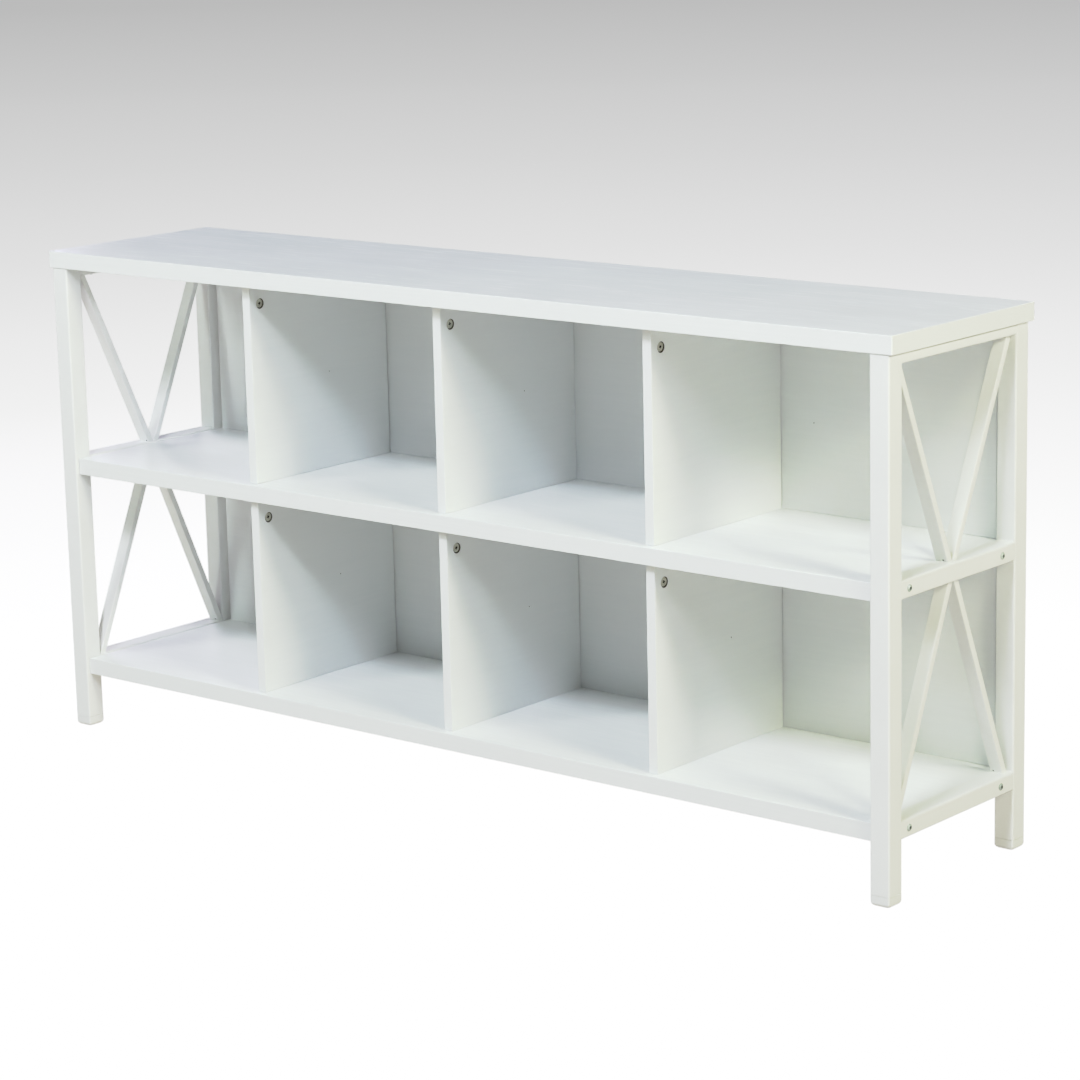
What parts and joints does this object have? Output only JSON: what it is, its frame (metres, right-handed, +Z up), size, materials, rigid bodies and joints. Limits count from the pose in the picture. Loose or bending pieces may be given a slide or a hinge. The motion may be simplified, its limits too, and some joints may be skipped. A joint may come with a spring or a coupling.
{
  "type": "console bookcase",
  "caption": "Long low bookcase for a wall or the back of a sofa: board top, fixed shelves, upright dividers and back panels, carried by square steel end frames with crossed tube braces.",
  "frame": {"origin": "on the floor, under the middle of the top panel", "axes": "+X to the right along the length seen from the front, +Y from the open front to the back panels, +Z up"},
  "size_m": [1.574, 0.342, 0.762],
  "materials": {
    "laminate": "white melamine laminate on particleboard, satin, faint lengthwise grain",
    "powder_coat": "white powder coat, satin",
    "cap_plastic": "white moulded plastic",
    "zinc": "zinc-plated steel",
    "cast_zinc": "bare die-cast zinc, dull grey-brown"
  },
  "bodies": {
    "root": {"bottom_rail_left": "powder_coat", "bottom_rail_right": "powder_coat", "bottom_shelf": "laminate", "brace_lower_front_left": "powder_coat", "brace_lower_front_right": "powder_coat", "brace_lower_rear_left": "powder_coat", "brace_lower_rear_right": "powder_coat", "brace_upper_front_left": "powder_coat", "brace_upper_front_right": "powder_coat", "brace_upper_rear_left": "powder_coat", "brace_upper_rear_right": "powder_coat", "cam_bolt_lower_centre": "zinc", "cam_bolt_lower_left": "zinc", "cam_bolt_lower_right": "zinc", "cam_bolt_upper_centre": "zinc", "cam_bolt_upper_left": "zinc", "cam_bolt_upper_right": "zinc", "cam_lock_lower_centre": "cast_zinc", "cam_lock_lower_left": "cast_zinc", "cam_lock_lower_right": "cast_zinc", "cam_lock_upper_centre": "cast_zinc", "cam_lock_upper_left": "cast_zinc", "cam_lock_upper_right": "cast_zinc", "foot_cap_front_left": "cap_plastic", "foot_cap_front_right": "cap_plastic", "foot_cap_rear_left": "cap_plastic", "foot_cap_rear_right": "cap_plastic", "leg_front_left": "powder_coat", "leg_front_right": "powder_coat", "leg_rear_left": "powder_coat", "leg_rear_right": "powder_coat", "lower_back_panel": "laminate", "lower_divider_centre": "laminate", "lower_divider_left": "laminate", "lower_divider_right": "laminate", "middle_rail_left": "powder_coat", "middle_rail_right": "powder_coat", "middle_shelf": "laminate", "shelf_screw_bottom_left_front": "zinc", "shelf_screw_bottom_left_rear": "zinc", "shelf_screw_bottom_right_front": "zinc", "shelf_screw_bottom_right_rear": "zinc", "shelf_screw_middle_left_front": "zinc", "shelf_screw_middle_left_rear": "zinc", "shelf_screw_middle_right_front": "zinc", "shelf_screw_middle_right_rear": "zinc", "top_panel": "laminate", "top_rail_left": "powder_coat", "top_rail_right": "powder_coat", "top_screw_left_front": "zinc", "top_screw_left_rear": "zinc", "top_screw_right_front": "zinc", "top_screw_right_rear": "zinc", "upper_back_panel": "laminate", "upper_divider_centre": "laminate", "upper_divider_left": "laminate", "upper_divider_right": "laminate"}
  },
  "joints": []
}
